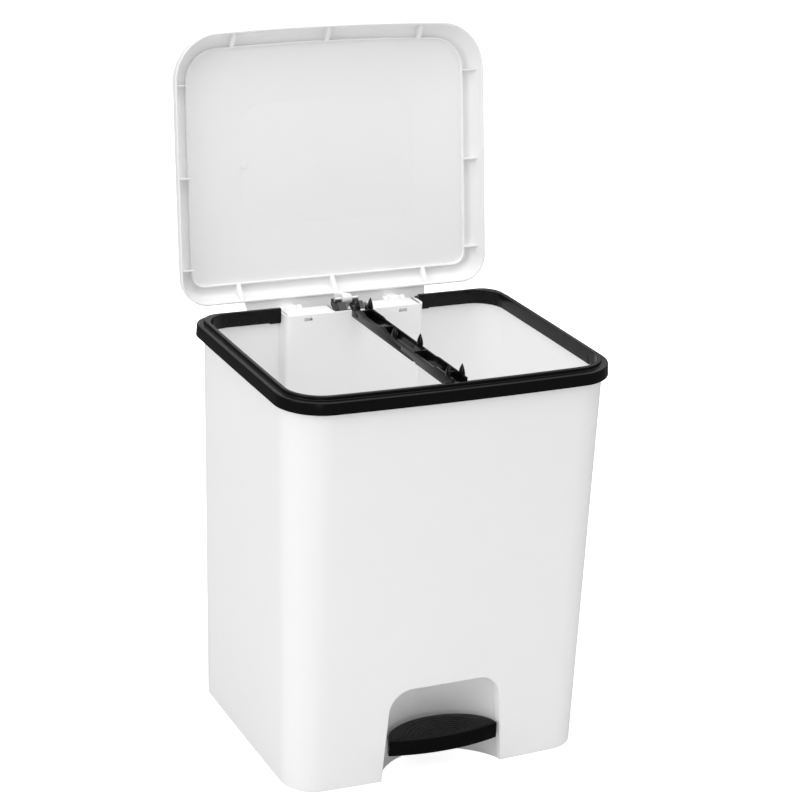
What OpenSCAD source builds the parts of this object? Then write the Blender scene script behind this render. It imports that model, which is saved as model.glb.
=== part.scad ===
// Two-bag pedal bin. Millimetres, +Z up, -Y is the front (pedal) side.
// The origin is the centre of the base, on the floor.
// Drawn with the pedal pressed and the lid fully open.

/* [Tub] */
// Width of the tub at its rim
rim_w = 335; // [300:1:380]
// Depth of the tub at its rim
rim_d = 265; // [240:1:300]
// Width of the tub at the floor
base_w = 312; // [280:1:330]
// Depth of the tub at the floor
base_d = 258; // [230:1:270]
// Height of the tub's rim above the floor
rim_h = 397; // [330:1:480]
// Plan radius of the rim's front corners
rim_r = 40; // [34:1:50]
// Plan radius of the rim's rear corners
rim_r_back = 34; // [30:1:44]
// Plan corner radius at the floor
base_r = 31; // [24:1:36]
// Wall thickness of the tub
wall = 2.2; // [1.8:0.1:2.8]
// How far the middle of the front stands out of a flat line
front_bow = 4.5; // [0:0.5:6]
// How far the middle of each side stands out of a flat line
side_bow = 0.5; // [0:0.5:3]
// Top face of the inner floor
floor_top = 46; // [45:1:50]

/* [Bag ring] */
// How far the ring's outer face stands outside the tub's rim at the front and back
ring_over = 4; // [3.5:0.1:4.5]
// How far it stands outside the rim at the sides
ring_side = 4.5; // [4:0.1:5]
// Height of the raised inner wall's top above the rim
ring_up = 8; // [6:0.5:10]
// Depth of the ring's outer skirt below the rim
ring_down = 8; // [6:0.5:14]
// Half the gap that the ring leaves for the hinge
ring_gap = 77; // [77:1:85]

/* [Divider] */
// Distance between the middles of the divider's two walls
divider_w = 14; // [10:1:20]
// Height of the divider's walls
divider_h = 12; // [9:1:14]
// Height of the bag spikes on the divider
spike_h = 9.5; // [6:0.5:10]

/* [Lid] */
// Height of the lid's skirt and top together
lid_h = 25; // [23:1:30]
// Angle of the fully open lid above its closed place
lid_open = 98; // [90:1:100]
// Width of the flange that covers the hinge
flange_w = 200; // [190:1:220]

/* [Pedal] */
// Width of the pedal opening at the floor
opening_w = 128; // [124:1:134]
// Height of the pedal opening
opening_h = 95; // [90:1:105]
// Width of the tread
tread_w = 116; // [108:1:117]
// Height of the tread's skirt
tread_h = 17; // [14:1:18]
// Height of the pressed tread's top above the floor
tread_top = 44; // [42:1:45]

/* [Mechanism] */
// Travel of the push rod between closed and open
rod_travel = 22; // [20:0.5:22]
// Radius of the hinge pins and the lift pin
pin_r = 2.5; // [2:0.1:2.6]
// Radius of the pedal axle
axle_r = 3; // [2.5:0.1:3.5]
// Radius of the pin that joins the lever to the rod
lever_pin_r = 2; // [1.6:0.1:2]
// Radial clearance of a turning pin
run_fit = 0.05; // [0.02:0.01:0.1]

/* [Hidden] */
$fn = 64;
eps = 0.01;
white = [0.93, 0.93, 0.93];
black = [0.06, 0.06, 0.06];
steel = [0.62, 0.63, 0.65];

corner_steps = 8;      // arc pieces in each plan corner
side_steps = 6;        // pieces in each bowed side

// Hinge line of the lid, parallel to X
hinge_y = 149;
hinge_z = rim_h - 4;
knuckle_r = 6;
// The lift pin swings evenly above and below the hinge line
lift_arm = rod_travel / (2 * sin(lid_open / 2));
lift_pin_y = hinge_y - lift_arm * cos(lid_open / 2);
lift_pin_z = hinge_z + rod_travel / 2;
lift_mid_y = hinge_y - lift_arm;

// Thickness of the inner floor
floor_t = 2.5;

// Recess for the hinge and channel for the push rod, both open to the rear
recess_y = 114;
recess_x = 74.5;
recess_z = 300;
recess_top = rim_h + 3;
channel_x = 22;
// Free way for the rod's head through the hinge housing
passage_x = 20;

// Push rod, upright behind the channel's front wall
rod_y = 118.8;
rod_w = 12;
rod_t = 5;
rod_low = 37;
rod_high = 383;
cheek_out = 14;
cheek_in = 5.6;
pin_play = 0.75;

// Pedal lever and its axle
axle_y = -20;
axle_z = 14;
lever_w = 22;
lever_eye_r = 8;
slot_hx = 14;
tongue_w = 8;
tongue_r = 4;
lever_pin_y = 118.5;
lever_pin_z = 30;
foot_cheek_in = 4.6;
foot_cheek_out = 9;
bracket_in = 12;
bracket_t = 4;
bracket_r = 8;
plate_t = 3;

// Pedal recess: a cone about an upright axis in front of the tub
scoop_y = -158;
scoop_r0 = 71;
scoop_r1 = 69;
opening_taper = 6.5;
opening_r = 22;

// Lid, in its closed place
lid_rim_z = rim_h + 4.5;
lid_back_y = 137.5;
lid_hx = rim_w / 2 + 3;
lid_hy = rim_d / 2 + 3.5;
lid_r_front = 46;
lid_r_back = 28;
lid_wall = 2;
lip_in = 16.2;
lip_h = 5.8;
flange_r = 11;
flange_t = 2.2;

// ---- Lofted shells ----------------------------------------------------

// Plan outline: a rounded rectangle from y0 to y1 whose sides bow outwards
function outline(hx, y0, y1, r_front, r_back, bow_x, bow_front) =
    let (hy = (y1 - y0) / 2, yc = (y0 + y1) / 2)
    [for (p = concat(
        corner( hx - r_back,   y1 - r_back,   r_back,   0),
        side([hx - r_back, y1], [-hx + r_back, y1]),
        corner(-hx + r_back,   y1 - r_back,   r_back,   90),
        side([-hx, y1 - r_back], [-hx, y0 + r_front]),
        corner(-hx + r_front,  y0 + r_front,  r_front,  180),
        side([-hx + r_front, y0], [hx - r_front, y0]),
        corner( hx - r_front,  y0 + r_front,  r_front,  270),
        side([hx, y0 + r_front], [hx, y1 - r_back])))
        [p[0] + bow_x * (p[0] / hx) * (1 - pow((p[1] - yc) / hy, 2)),
         p[1] + (p[1] < yc ? bow_front * ((p[1] - yc) / hy) * (1 - pow(p[0] / hx, 2)) : 0)]];

function corner(cx, cy, r, a0) =
    [for (i = [0 : corner_steps]) let (a = a0 + 90 * i / corner_steps) [cx + r * cos(a), cy + r * sin(a)]];

function side(p, q) = [for (i = [1 : side_steps - 1]) p + (q - p) * i / side_steps];

function at_height(pts, z) = [for (p = pts) [p[0], p[1], z]];

// One closed solid through a stack of outlines. A looped stack joins its
// last outline to its first; an open one is capped at both ends.
module loft(stack, looped = false) {
    n = len(stack[0]);
    m = len(stack);
    spans = looped ? m : m - 1;
    walls = [for (k = [0 : spans - 1]) for (i = [0 : n - 1])
        let (j = (i + 1) % n, low = k * n, high = ((k + 1) % m) * n)
        for (t = [[low + i, high + j, low + j], [low + i, high + i, high + j]]) t];
    caps = looped ? [] : [[for (i = [0 : n - 1]) i], [for (i = [n - 1 : -1 : 0]) (m - 1) * n + i]];
    polyhedron(points = [for (s = stack) for (p = s) p], faces = concat(walls, caps), convexity = 6);
}

// Outline of the tub's outside, moved in by inset, at height z
function tub_at(z, inset) =
    let (t = z / rim_h,
         hx = (base_w + (rim_w - base_w) * t) / 2 - inset,
         hy = (base_d + (rim_d - base_d) * t) / 2 - inset,
         r_front = base_r + (rim_r - base_r) * t - inset,
         r_back = base_r + (rim_r_back - base_r) * t - inset)
    at_height(outline(hx, -hy, hy, r_front, r_back, side_bow, front_bow), z);

// Outline of the ring, moved in by inset from its outer face, with the given rear corners
function ring_outline(z, inset, r_back) =
    let (hx = rim_w / 2 + ring_side - inset,
         hy = rim_d / 2 + ring_over - inset)
    at_height(outline(hx, -hy, hy, ring_r - inset, r_back, side_bow, front_bow), z);

// Outer faces of the ring, with tight rear corners
function ring_at(z, inset) = ring_outline(z, inset, ring_r_back - inset);

// Inner wall of the ring, with rear corners that clear the inside of the tub
function ring_in_at(z, inset) = ring_outline(z, inset, ring_r_inner + ring_wall_in - inset);

// Outline of the lid, moved in by inset from its rim, at height z above the rim
function lid_at(z, inset) =
    let (hx = lid_hx - inset,
         y0 = inset - lid_hy,
         y1 = lid_back_y - inset,
         r_front = max(lid_r_front - inset, 20),
         r_back = max(lid_r_back - inset, 16))
    at_height(outline(hx, y0, y1, r_front, r_back, side_bow, front_bow), lid_rim_z + z);

// Depth of the tub's rear wall at height z
function rear_y(z) = (base_d + (rim_d - base_d) * z / rim_h) / 2;

// ---- Small helpers ----------------------------------------------------

module box(x0, x1, y0, y1, z0, z1) {
    translate([x0, y0, z0])
        cube([x1 - x0, y1 - y0, z1 - z0]);
}

module both_sides() {
    children();
    mirror([1, 0, 0])
        children();
}

// Round bar along X, from x0 to x1
module bar_x(x0, x1, y, z, r) {
    translate([x0, y, z])
        rotate([0, 90, 0])
            cylinder(r = r, h = x1 - x0);
}

// Flat plate across X, with its outline in the YZ plane
module plate_x(x0, x1, pts) {
    translate([x0, 0, 0])
        rotate([90, 0, 90])
            linear_extrude(height = x1 - x0)
                polygon(pts);
}

// Upright screw with a flat head at z and its thread going up
module screw_up(x, y, z, head_r, head_h, shank_r, length) {
    translate([x, y, z])
        cylinder(r = head_r, h = head_h);
    translate([x, y, z + head_h - eps])
        cylinder(r = shank_r, h = length);
}

// ---- Tub ---------------------------------------------------------------

// Space of the pedal recess, grown by g on every side
module scoop(g) {
    intersection() {
        translate([0, scoop_y, -1])
            cylinder(r1 = scoop_r0 + g, r2 = scoop_r1 + g, h = opening_h + 1 + g);
        translate([0, scoop_y + scoop_r0 + 30, 0])
            rotate([90, 0, 0])
                linear_extrude(height = 2 * scoop_r0)
                    arch(opening_w / 2 + g, opening_w / 2 - opening_taper + g, opening_h + g,
                         opening_r + g);
    }
}

// Arch with straight sides and round top corners
module arch(half_low, half_high, h, r) {
    difference() {
        polygon([[-half_low, -1], [half_low, -1], [half_high, h], [-half_high, h]]);
        for (s = [-1, 1])
            translate([s * (half_high - r), h - r])
                difference() {
                    translate([s > 0 ? 0 : -r - 3, 0])
                        square([r + 3, r + 3]);
                    circle(r = r);
                }
    }
}

// Space of the rod's channel and the hinge recess, grown by g
module rear_space(g) {
    box(-channel_x - g, channel_x + g, recess_y - g, 180, -1, recess_z + 1);
    box(-recess_x - g, recess_x + g, recess_y - g, 180, recess_z - g, rim_h + 40);
}

module tub() {
    color(white)
        difference() {
            union() {
                // from the floor's underside down the skirt, up the outside and down to the floor's top
                loft([tub_at(floor_top - floor_t, wall), tub_at(0, wall), tub_at(0, 0), tub_at(rim_h, 0),
                      tub_at(rim_h, wall), tub_at(floor_top, wall)]);
                intersection() {
                    scoop(wall);
                    loft([tub_at(0, wall / 2), tub_at(rim_h, wall / 2)]);
                }
                intersection() {
                    rear_space(wall);
                    loft([tub_at(0, wall / 2), tub_at(recess_top, wall / 2)]);
                }
                both_sides()
                    cover_blocks();
                screw_posts();
            }
            scoop(0);
            rear_space(0);
            // ways for the lever through the recess wall and the channel's front wall
            box(-slot_hx, slot_hx, -99, -82, 12, 35.6);
            box(-slot_hx, slot_hx, recess_y - 2 * wall, recess_y + 1, plate_t, 38);
            // windows that the hinge housing's hooks snap into
            both_sides()
                box(window_x - window_w / 2, window_x + window_w / 2, recess_y - 2 * wall, recess_y + 1,
                    window_z - window_h / 2, window_z + window_h / 2);
            both_sides()
                cover_pilots();
            for (p = post_places())
                translate([p[0], p[1], plate_t - 1])
                    cylinder(r = base_pilot_r, h = 14);
        }
}

base_pilot_r = 1.5;    // holes in the tub's posts
base_shank_r = 1.45;   // the screws in them
base_head_r = 4;
base_head_h = 1.6;
post_r = 5;

window_x = 52.7;
window_w = 9;
window_h = 3.2;
window_z = recess_top - 5;

// Places of the posts that take the base plate's screws
function post_places() = [for (x = [-115, 115], y = [-70, 85]) [x, y]];

module screw_posts() {
    for (p = post_places())
        translate([p[0], p[1], plate_t])
            cylinder(r = post_r, h = floor_top - 1 - plate_t);
}

cover_screw_x = 18;
cover_screw_z = [70, 265];
cover_pilot_r = 1.3;
cover_shank_r = 1.25;
cover_head_r = 3;

// Blocks in the channel that the rear cover is screwed to
module cover_blocks() {
    for (z = cover_screw_z)
        box(14.5, channel_x + 1, recess_y - 1, rear_y(z) - 4, z - 6, z + 6);
}

module cover_pilots() {
    for (z = cover_screw_z)
        translate([cover_screw_x, rear_y(z) + 5, z])
            rotate([90, 0, 0])
                cylinder(r = cover_pilot_r, h = 16);
}

// ---- Base ---------------------------------------------------------------

// Base outline inside the skirt, clear of the pedal recess and the channel
module base_slab(z0, z1, gap) {
    difference() {
        loft([tub_at(z0, wall + gap), tub_at(z1, wall + gap)]);
        translate([0, 0, z0 - 1])
            linear_extrude(height = z1 - z0 + 2)
                intersection() {
                    translate([0, scoop_y])
                        circle(r = scoop_r0 + wall + gap);
                    translate([-opening_w / 2 - wall - gap, scoop_y])
                        square([opening_w + 2 * (wall + gap), 200]);
                }
        box(-channel_x - wall - gap, channel_x + wall + gap, recess_y - wall - gap, 180, z0 - 1, z1 + 1);
    }
}

module base_plate() {
    color(white)
        difference() {
            union() {
                base_slab(0, plate_t, 0.3);
                both_sides()
                    difference() {
                        union() {
                            box(bracket_in, bracket_in + bracket_t, axle_y - bracket_r, axle_y + bracket_r,
                                plate_t - eps, axle_z);
                            bar_x(bracket_in, bracket_in + bracket_t, axle_y, axle_z, bracket_r);
                        }
                        bar_x(bracket_in - 1, bracket_in + bracket_t + 1, axle_y, axle_z, axle_r + run_fit);
                    }
            }
            for (p = post_places()) {
                translate([p[0], p[1], -1])
                    cylinder(r = base_head_r + 0.5, h = 1 + 2);
                translate([p[0], p[1], -1])
                    cylinder(r = base_shank_r + 0.45, h = plate_t + 2);
            }
            for (p = pad_places())
                translate([p[0], p[1], -1])
                    cylinder(r = pad_r + 0.1, h = 1 + pad_h + 0.05);
        }
}

module base_screws() {
    color(steel)
        for (p = post_places())
            screw_up(p[0], p[1], 0.3, base_head_r, base_head_h, base_shank_r, 12);
}

pad_r = 9;
pad_h = 1.45;

function pad_places() = [for (x = [-128, 128], y = [-92, 98]) [x, y]];

module foot_pads() {
    color(black)
        for (p = pad_places())
            translate([p[0], p[1], 0])
                cylinder(r = pad_r, h = pad_h);
}

// ---- Bag ring and divider -------------------------------------------------

ring_ledge = 4.2;      // height of the outer ledge above the tub's rim
ring_wall_in = 10.8;   // inset of the ring's inner face
ring_wall_t = 4.2;     // thickness of the ring's raised inner wall
ring_flare = 0.7;      // how far the skirt's lower edge stands out
ring_seat = 0.4;       // gap between the ring's underside and the tub's rim
ring_r = 42;           // plan radius of the front corners
ring_r_back = 28;      // plan radius of the outer rear corners
ring_r_inner = 27;     // plan radius of the inner face's rear corners

module bag_ring() {
    top = rim_h + ring_up;
    ledge = rim_h + ring_ledge;
    low = rim_h - ring_down;
    low_in = low + 1;
    under = rim_h + ring_seat;
    raised = ring_wall_in - ring_wall_t;
    color(black)
        difference() {
            // up the skirt, over the ledge and the raised wall, down inside and back under
            loft([ring_at(low, -ring_flare),
                  ring_at(ledge - 2, 0),
                  ring_at(ledge - 0.6, 0.5),
                  ring_at(ledge, 1.8),
                  ring_at(ledge, raised - 0.7),
                  ring_at(ledge + 0.6, raised - 0.1),
                  ring_at(top - 0.7, raised),
                  ring_at(top, raised + 0.7),
                  ring_in_at(top, ring_wall_in - 0.6),
                  ring_in_at(top - 0.6, ring_wall_in),
                  ring_in_at(low_in, ring_wall_in),
                  ring_in_at(low_in, ring_wall_in - 1.9),
                  ring_in_at(under, ring_wall_in - 2.1),
                  ring_at(under, 2),
                  ring_at(low, 1.8 - ring_flare)], looped = true);
            // gap for the hinge
            box(-ring_gap, ring_gap, 60, 200, rim_h - 40, rim_h + 40);
        }
}

spike_steps = 8;
spike_long = 5;      // half length of a spike along the divider
spike_thin = 2.6;      // half its width across
spike_foot = 0.5;      // depth of its foot in the divider's wall

// Half width of a spike at the part t of its height
function leaf_half(half, t) = half * (1 - pow(t, 1.7)) + 0.15;

// Leaf-shaped outline of a spike, standing on the X axis
function leaf(half) = concat(
    [[-half - 0.2, 0], [half + 0.2, 0]],
    [for (i = [0 : spike_steps])
        let (t = i / spike_steps) [leaf_half(half, t), t * spike_h + spike_foot]],
    [for (i = [spike_steps : -1 : 0])
        let (t = i / spike_steps) [-leaf_half(half, t), t * spike_h + spike_foot]]);

module spike(x, y, z) {
    translate([x, y, z - spike_foot])
        intersection() {
            rotate([90, 0, 90])
                translate([0, 0, -3])
                    linear_extrude(height = 6)
                        polygon(leaf(spike_long));
            rotate([90, 0, 0])
                translate([0, 0, -6])
                    linear_extrude(height = 12)
                        polygon(leaf(spike_thin));
        }
}

divider_z = rim_h - 1;
divider_front = -(rim_d / 2 + ring_over + front_bow - ring_wall_in) + 0.3;
divider_back = recess_y - wall - 0.3;
divider_t = 1.8;
divider_webs = [-128, -84, -30, 24, 72, 96];
divider_walls = [-108, -44, 34, 88];

module ring_divider() {
    hx = divider_w / 2;
    top = divider_z + divider_h;
    color(black)
        difference() {
            union() {
                for (s = [-1, 1])
                    box(s * hx - divider_t / 2, s * hx + divider_t / 2, divider_front, divider_back - 6,
                        divider_z, top);
                // floor of the bar, with openings left between its webs
                for (y = divider_webs)
                    box(-hx, hx, max(y, divider_front), y + 12, divider_z, divider_z + 2);
                // upright cross walls
                for (y = divider_walls)
                    box(-hx, hx, y, y + divider_t, divider_z, top - 1);
                // tongue that rests against the hinge recess
                box(-4, 4, divider_back - 12, divider_back, divider_z, divider_z + 3);
                for (p = [[-hx, 94], [hx, 94], [-hx, 3], [hx, -26], [-hx, -119], [hx, -119]])
                    spike(p[0], p[1], top);
            }
            // small openings in the left and right walls
            for (y = [90, -14])
                box(-hx - 3, hx + 3, y, y + 1.6, divider_z + 3, divider_z + 6);
        }
}

// ---- Hinge -------------------------------------------------------------

ear_in = 46;
ear_t = 5.4;
lid_ear_in = 52;
lid_ear_out = 64;
far_ear_in = 64.6;

module housing_ear(x0, x1) {
    difference() {
        union() {
            plate_x(x0, x1, [[recess_y + 0.5, 350], [recess_y + 0.5, rim_h - 1], [hinge_y - 3, rim_h - 1],
                             [hinge_y, hinge_z - knuckle_r], [133, 362], [126, 350]]);
            bar_x(x0, x1, hinge_y, hinge_z, knuckle_r);
        }
        bar_x(x0 - 1, x1 + 1, hinge_y, hinge_z, pin_r + run_fit);
    }
}

module hinge_housing() {
    in_x = passage_x;
    out_x = recess_x - 0.5;
    front = recess_y + 0.3;
    low = recess_z + 0.4;
    top = recess_top - 1;
    color(white)
        union() {
            both_sides() {
                // front plate, top shelf, floor and the two end plates
                box(in_x, out_x, front, front + 2.2, low, top);
                box(in_x, out_x, front, 139, top - 2.4, top);
                box(in_x, out_x, front, 130.5, low, low + 2.4);
                for (x = [in_x, out_x - 2.2])
                    plate_x(x, x + 2.2, [[front, low], [130.5, low], [131, 346], [139, 380],
                                         [139, top], [front, top]]);
                // closing plate behind, in line with the tub's rear wall
                plate_x(in_x, out_x, [[128.6, low], [130.8, low], [132.3, 378], [130.1, 378]]);
                housing_ear(ear_in, ear_in + ear_t);
                housing_ear(far_ear_in, far_ear_in + ear_t);
                // snap hook that fills the tub's window
                box(window_x - 4, window_x + 4, recess_y - 1.4, front + 0.1,
                    window_z - 1.1, window_z + 1.1);
            }
            // crosspiece under the rod's head joins the two halves
            box(-in_x - eps, in_x + eps, 128, 130.5, low, low + 2.4);
        }
}

module hinge_pin_left() {
    color(steel)
        bar_x(-far_ear_in - ear_t - 0.5, -ear_in + 0.5, hinge_y, hinge_z, pin_r);
}

module hinge_pin_right() {
    color(steel)
        bar_x(ear_in - 0.5, far_ear_in + ear_t + 0.5, hinge_y, hinge_z, pin_r);
}

// ---- Lid ----------------------------------------------------------------

// Turns a piece drawn in the closed place to the open place
module opened() {
    translate([0, hinge_y, hinge_z])
        rotate([-lid_open, 0, 0])
            translate([0, -hinge_y, -hinge_z])
                children();
}

// Places where a short rib joins the skirt to the lip
lid_rib_y = [-86, 8, 102];
lid_rib_x = [-104, 0, 104];
lid_rib_t = 1.6;

// Height above the rim and inset of the points up the lid's outside
lid_outside = [[0, 0], [6, 0.7], [13, 2], [17.5, 3.8], [20.5, 7], [22.2, 12], [22.8, 20]];
// The same down its inside
lid_inside = [[20.8, 20.6], [20.2, 13], [19.2, 8.6], [16.6, 5.8], [12.6, 4], [6, 2.7], [0, lid_wall]];
// Inset of the two outlines that the lid's low dome turns on
lid_dome = [70, 110];

module lid_shell() {
    loft(concat([for (p = lid_outside) lid_at(p[0], p[1])],
                [lid_at(lid_h - 0.6, lid_dome[0]), lid_at(lid_h, lid_dome[1]),
                 lid_at(lid_h - lid_wall, lid_dome[1]), lid_at(lid_h - 0.6 - lid_wall, lid_dome[0])],
                [for (p = lid_inside) lid_at(p[0], p[1])]), looped = true);
    // middle of the top, inside the shell's innermost outline
    loft([lid_at(lid_h - lid_wall, lid_dome[1] - 0.5), lid_at(lid_h, lid_dome[1] - 0.5)]);
}

lip_t = 1.8;
lip_top = 21.4;

module lid_lip() {
    loft([lid_at(lip_top - lip_h, lip_in), lid_at(lip_top, lip_in),
          lid_at(lip_top, lip_in + lip_t), lid_at(lip_top - lip_h, lip_in + lip_t)], looped = true);
}

// Outline of a rib that runs in from the rim for the given reach: [distance in from the rim, height].
// Its outer edge keeps half way through the lid's wall.
function rib_outline(reach) = [
    [reach, 9], [2.6, 9], [2.9, 12], [5, 16.8], [8.3, 19.4], [12, 20.6], [reach, 20.8]
];

module lid_ribs() {
    half = lid_rib_t / 2;
    for (y = lid_rib_y)
        both_sides()
            rotate([0, 0, -90])
                plate_x(-y - half, half - y,
                        [for (p = rib_outline(lip_in + 0.5)) [lid_hx - p[0], lid_rim_z + p[1]]]);
    for (x = lid_rib_x) {
        y0 = -lid_hy - front_bow * (1 - pow(x / lid_hx, 2));
        outline = rib_outline(lip_in + 1);
        plate_x(x - half, x + half, [for (p = outline) [y0 + p[0], lid_rim_z + p[1]]]);
        plate_x(x - half, x + half, [for (p = outline) [lid_back_y - p[0], lid_rim_z + p[1]]]);
    }
}

// Flange over the hinge: a plate from the rear skirt that curls down round the pins
module lid_flange() {
    hx = flange_w / 2;
    r0 = flange_r;
    r1 = flange_r + flange_t;
    box(-hx, hx, lid_back_y - 2.2, hinge_y + eps, hinge_z + r0, hinge_z + r1);
    intersection() {
        difference() {
            bar_x(-hx, hx, hinge_y, hinge_z, r1);
            bar_x(-hx - 1, hx + 1, hinge_y, hinge_z, r0);
        }
        box(-hx - 1, hx + 1, hinge_y, hinge_y + 20, hinge_z + 3, hinge_z + 20);
    }
    both_sides()
        for (x = [hx - 2, 60])
            plate_x(x, x + 2, [[lid_back_y - 1, hinge_z + r0 + 1], [hinge_y, hinge_z + r0 + 1],
                               [lid_back_y - 1, lid_rim_z + 15]]);
}

module lid_ears() {
    both_sides() {
        plate_x(lid_ear_in, lid_ear_out, [[hinge_y - knuckle_r, hinge_z], [hinge_y + knuckle_r, hinge_z],
                                          [hinge_y + 3, hinge_z + flange_r + 0.5],
                                          [hinge_y - knuckle_r, hinge_z + flange_r + 0.5]]);
        bar_x(lid_ear_in, lid_ear_out, hinge_y, hinge_z, knuckle_r);
    }
}

lug_half = 5;
lug_r = 5;

// Lug that the push rod lifts, drawn in the closed place
module lid_lug() {
    pin_z = hinge_z - rod_travel / 2;
    bar_x(-lug_half, lug_half, lift_pin_y, pin_z, lug_r);
    plate_x(-lug_half, lug_half, [[lift_pin_y - lug_r, pin_z], [lift_pin_y + lug_r, pin_z],
                                  [hinge_y + 3, hinge_z - 3], [hinge_y + 3, hinge_z + flange_r + 0.5],
                                  [lift_pin_y - lug_r + 2, hinge_z + flange_r + 0.5]]);
}

module lid() {
    color(white)
        opened()
            difference() {
                union() {
                    lid_shell();
                    lid_lip();
                    lid_ribs();
                    lid_flange();
                    lid_ears();
                    lid_lug();
                }
                both_sides()
                    bar_x(lid_ear_in - 1, lid_ear_out + 1, hinge_y, hinge_z, pin_r + run_fit);
                bar_x(-lug_half - 1, lug_half + 1, lift_pin_y, hinge_z - rod_travel / 2, pin_r + 0.02);
            }
}

module lift_pin() {
    color(steel)
        bar_x(-cheek_out + 1, cheek_out - 1, lift_pin_y, lift_pin_z, pin_r);
}

// ---- Push rod ---------------------------------------------------------------

// Slot across X for a pin whose middle moves from y0 to y1, with half its height given
module pin_slot(x, y0, y1, z, half_h) {
    for (y = [y0, y1])
        bar_x(-x, x, y, z, half_h);
    box(-x, x, y0, y1, z - half_h, z + half_h);
}

// The push rod's bar from z0 to z1, grown by g on its four sides
module rod_space(g, z0, z1) {
    box(-rod_w / 2 - g, rod_w / 2 + g, rod_y - rod_t / 2 - g, rod_y + rod_t / 2 + g, z0, z1);
}

module rod_head() {
    color(black)
        difference() {
            union() {
                box(-10, 10, rod_y - 4, rod_y + 10, 372, 396);
                both_sides()
                    plate_x(cheek_in, cheek_out,
                            [[rod_y - 2, 388], [131, 388], [146, lift_pin_z - 7],
                             [146, lift_pin_z - 0.5], [128.5, lift_pin_z - 0.5], [rod_y - 2, 394]]);
            }
            // cradle, open at its top, that the lift pin rests in
            pin_slot(cheek_out + 1, lift_mid_y - 0.3, lift_pin_y + 0.3, lift_pin_z, pin_r + pin_play);
            rod_space(0.05, 371, rod_high + 0.1);
        }
}

module push_rod() {
    color(steel)
        rod_space(0, rod_low, rod_high);
}

module rod_foot() {
    y0 = recess_y + 0.5;
    y1 = recess_y + 9;
    color(black)
        difference() {
            union() {
                both_sides()
                    box(foot_cheek_in, foot_cheek_out, y0, y1, 25.8, 36.5);
                box(-foot_cheek_out, foot_cheek_out, y0, y1, 36, 48);
            }
            pin_slot(foot_cheek_out + 1, lever_pin_y - 0.1, lever_pin_y + 1.1, lever_pin_z,
                     lever_pin_r + 0.3);
            rod_space(0.05, rod_low - 0.1, 49);
        }
}

guide_z = [110, 282];

// Guide clipped between the channel's side walls
module rod_guide(z) {
    color(white)
        difference() {
            box(-channel_x + 0.2, channel_x - 0.2, recess_y + 0.1, recess_y + 10.5, z - 5, z + 5);
            rod_space(0.4, z - 6, z + 6);
        }
}

module rod_guide_upper() {
    rod_guide(guide_z[1]);
}

module rod_guide_lower() {
    rod_guide(guide_z[0]);
}

cover_t = 2.3;

module rear_cover() {
    z0 = 0.4;
    z1 = recess_z - 0.4;
    color(white)
        difference() {
            plate_x(-channel_x + 0.3, channel_x - 0.3,
                    [[rear_y(z0) - cover_t, z0], [rear_y(z0), z0],
                     [rear_y(z1), z1], [rear_y(z1) - cover_t, z1]]);
            both_sides()
                for (z = cover_screw_z)
                    translate([cover_screw_x, rear_y(z) + 5, z])
                        rotate([90, 0, 0]) {
                            cylinder(r = cover_shank_r + 0.55, h = 14);
                            cylinder(r = cover_head_r + 0.2, h = 6.6);
                        }
        }
}

module cover_screws() {
    color(steel)
        both_sides()
            for (z = cover_screw_z)
                translate([cover_screw_x, rear_y(z) - 0.5, z])
                    rotate([90, 0, 0]) {
                        cylinder(r = cover_head_r, h = 1.1);
                        cylinder(r = cover_shank_r, h = 12);
                    }
}

// ---- Pedal ----------------------------------------------------------------

tread_mid_y = -135;    // where the tread is widest
tread_deep = 36.5;     // from there to the middle of its rear edge
tread_bow = 8;
tread_front_y = -141.5;

// D-shaped plan of the tread, moved in by inset: an ellipse behind, a flat arc in front
module tread_plan(inset) {
    front_r = (pow(tread_w / 2, 2) + pow(tread_bow, 2)) / (2 * tread_bow);
    intersection() {
        translate([0, tread_mid_y])
            scale([(tread_w / 2 - inset) / (tread_deep - inset), 1])
                circle(r = tread_deep - inset, $fn = 128);
        translate([0, tread_front_y + front_r])
            circle(r = front_r - inset, $fn = 200);
    }
}

tread_screw_y = [-124, -109.5];
tread_boss_r = 4.5;
tread_pilot_r = 1.6;
tread_shank_r = 1.55;

module pedal_tread() {
    color(black)
        difference() {
            union() {
                difference() {
                    translate([0, 0, tread_top - tread_h])
                        linear_extrude(height = tread_h)
                            tread_plan(0);
                    translate([0, 0, tread_top - tread_h - 1])
                        linear_extrude(height = tread_h + 1 - 2.4)
                            tread_plan(2.2);
                }
                for (y = tread_screw_y)
                    translate([0, y, lever_pad_z + 0.1])
                        cylinder(r = tread_boss_r, h = tread_top - 1 - lever_pad_z);
            }
            for (y = tread_screw_y)
                translate([0, y, lever_pad_z - 1])
                    cylinder(r = tread_pilot_r, h = 5.5);
            // way for the lever through the tread's rear skirt
            box(-lever_w / 2 - 0.6, lever_w / 2 + 0.6, -103, -84, tread_top - tread_h - 1, lever_pad_z + 1);
        }
}

lever_pad_z = tread_top - 6;
lever_pad_t = 3;

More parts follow.
